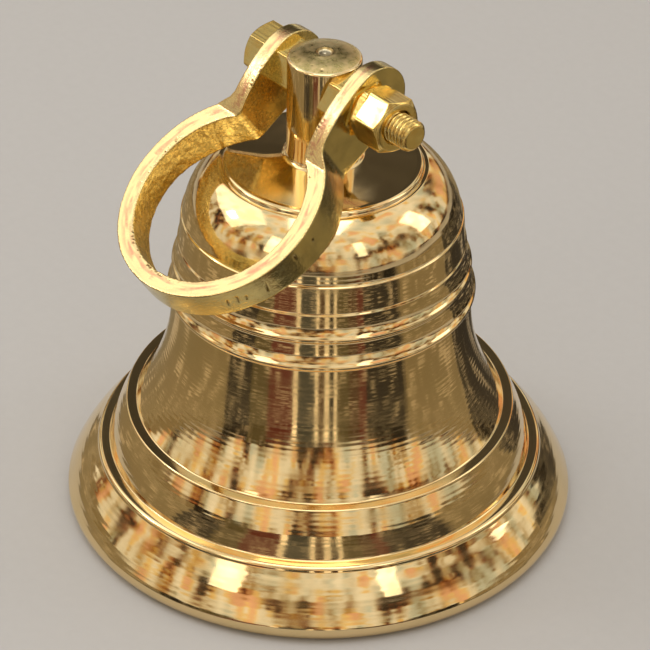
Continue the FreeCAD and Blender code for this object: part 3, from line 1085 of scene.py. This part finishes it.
def facing_centre(azimuth, elevation, distance, target):
    """A place round the target, and the turn that looks from there at it, both in metres."""
    turn = Matrix.Rotation(azimuth, 4, "Z") @ Matrix.Rotation(math.pi / 2 - elevation, 4, "X")
    place = Matrix.Translation((target + turn.to_3x3() @ Z_AXIS * distance) * MM)
    return place @ turn


def camera():
    data = bpy.data.cameras.new("camera")
    data.lens = LENS_MM
    data.sensor_width = SENSOR_MM
    data.clip_start = 0.05
    data.clip_end = 20
    view = bpy.data.objects.new("camera", data)
    view.matrix_world = (facing_centre(VIEW_AZIMUTH, VIEW_ELEVATION, VIEW_DISTANCE, VIEW_TARGET)
                         @ Matrix.Rotation(VIEW_ROLL, 4, "Z"))
    bpy.context.scene.collection.objects.link(view)
    bpy.context.scene.camera = view


def square(half):
    return [(-half, -half, 0), (half, -half, 0), (half, half, 0), (-half, half, 0)]


def floor():
    r = Recipe("pale_floor")
    r.plug(r.shader.inputs["Base Color"], r.mix_colour(r.noise(3, 3), *FLOOR_GREYS))
    r.shader.inputs["Roughness"].default_value = 0.9
    r.shader.inputs["Specular IOR Level"].default_value = 0.0
    plane = show("floor", square(FLOOR_HALF), [(0, 1, 2, 3)])
    plane.data.materials.append(r.material)


def softbox(name, azimuth, elevation, distance, width, height, power, tint):
    """A soft rectangular light, placed by its angles round the bell as the camera sees it."""
    data = bpy.data.lights.new(name, "AREA")
    data.shape = "RECTANGLE"
    data.size = width * MM
    data.size_y = height * MM
    data.energy = power
    data.color = tint
    light = bpy.data.objects.new(name, data)
    light.matrix_world = facing_centre(VIEW_AZIMUTH + math.radians(azimuth), math.radians(elevation),
                                       distance, LIGHT_TARGET)
    bpy.context.scene.collection.objects.link(light)


def only_in_polish(panel):
    """Leaves a studio panel visible in reflections alone, so that it hides nothing."""
    panel.visible_camera = False
    panel.visible_diffuse = False
    panel.visible_shadow = False


def stand_panel(name, corners, placed, material):
    panel = show(name, corners, [(0, 1, 2, 3)])
    panel.data.materials.append(material)
    panel.data.transform(placed)
    only_in_polish(panel)


def card_material(name, shade, glow=0.0):
    """Matt card with lighter scraps on it, for a busy reflection. A lamp card glows as well."""
    r = Recipe(name)
    busy = r.stretched((1.0, 1.0, 0.5))
    scraps = r.ramp(r.noise(22, 4, busy, roughness=0.6), 0, 1, 0.55, 0.62)
    lighter = rgb(*[0.35 * part + 0.5 * cream for part, cream in zip(shade, CREAM)])
    r.plug(r.shader.inputs["Base Color"], r.mix_colour(scraps, rgb(*shade), lighter))
    r.shader.inputs["Roughness"].default_value = 0.8
    r.shader.inputs["Emission Color"].default_value = rgb(*CREAM)
    r.shader.inputs["Emission Strength"].default_value = glow
    return r.material


def card_and_strip(number, start, end, high, shade):
    """A low upright card, and a strip of its colour on the table from its foot to the bell."""
    glow = 1.0 if shade == LAMP else 0.0
    spread = math.tan(math.radians(end - start) / 2)
    near, far = TABLE_START * spread, CARD_DISTANCE * spread
    inwards = TABLE_START - CARD_DISTANCE
    upright = [(-far, CARD_FOOT, 0), (far, CARD_FOOT, 0), (far, high, 0), (-far, high, 0)]
    level = [(-near, CARD_FOOT, inwards), (near, CARD_FOOT, inwards),
             (far, CARD_FOOT, 0), (-far, CARD_FOOT, 0)]
    azimuth = VIEW_AZIMUTH + math.radians(start + end) / 2
    placed = facing_centre(azimuth, 0, CARD_DISTANCE, Vector())
    dimmer = tuple(STRIP_TONE * part for part in shade)
    card, strip = f"card_{number}", f"strip_{number}"
    stand_panel(card, upright, placed, card_material(card, shade, glow))
    stand_panel(strip, level, placed, card_material(strip, dimmer, glow * STRIP_GLOW))


def dim_table():
    """A ring round the bell, just under the strips, for what shows between them."""
    count = TABLE_SEGMENTS
    angles = [math.tau * i / count for i in range(count)]
    ring = [(radius * math.cos(angle), radius * math.sin(angle), TABLE_HEIGHT)
            for radius in (TABLE_START, TABLE_END) for angle in angles]
    faces = [(i, (i + 1) % count, (i + 1) % count + count, i + count) for i in range(count)]
    table = show("dim_table", ring, faces)
    table.data.materials.append(card_material("dim_table", DIM))
    only_in_polish(table)


def drape():
    """A dark drape opposite the camera, which thins out away from its middle."""
    hung = facing_centre(VIEW_AZIMUTH + math.pi, DRAPE_ELEVATION, DRAPE_DISTANCE, Vector())
    r = Recipe("drape")
    r.plug(r.shader.inputs["Base Color"], r.mix_colour(r.noise(160, 4), *DRAPE_FOLDS))
    off_middle = r.node("ShaderNodeVectorMath", {0: r.place, 1: hung.translation},
                        output="Value", operation="DISTANCE")
    fade_start, fade_end = DRAPE_FADE
    r.plug(r.shader.inputs["Alpha"], r.ramp(off_middle, 1, 0, fade_start * MM, fade_end * MM))
    stand_panel("drape", square(DRAPE_HALF), hung, r.material)


def sky():
    """Dim near the floor and brightest overhead, with soft uneven tinted patches."""
    world = bpy.data.worlds.new("studio")
    world.use_nodes = True
    chain = Chain(world.node_tree)
    way = chain.node("ShaderNodeTexCoord", {}, output="Generated")
    height = chain.node("ShaderNodeSeparateXYZ", {"Vector": way}, output="Z")
    upright = chain.node("ShaderNodeMapping", {"Vector": way, "Scale": (1.0, 1.0, 0.3)})
    patches = chain.node("ShaderNodeTexNoise", {
        "Vector": upright, "Scale": 6.0, "Detail": 3, "Roughness": 0.6})
    lift = chain.colour_ramp(height, [(place, rgb(level, level, level)) for place, level in SKY_LIFT])
    shifted = chain.math("MULTIPLY_ADD", patches, PATCH_STRENGTH, lift)
    colours = chain.colour_ramp(shifted, SKY_COLOURS)
    spread = chain.node("ShaderNodeTexNoise", {"Vector": upright, "Scale": 6.5, "Detail": 1})
    tints = chain.colour_ramp(spread, SKY_TINTS)
    background = chain.tree.nodes["Background"]
    chain.plug(background.inputs["Color"], chain.mix_colour(1.0, colours, tints, "MULTIPLY"))
    background.inputs["Strength"].default_value = 1.0
    bpy.context.scene.world = world


def studio():
    for light in LIGHTS:
        softbox(*light)
    for number, card in enumerate(CARDS):
        card_and_strip(number, *card)
    dim_table()
    drape()
    sky()
    bpy.context.scene.view_settings.view_transform = "Standard"


bell()
bolt_and_nuts()
shackle()
clapper()
hanger()
camera()
floor()
studio()
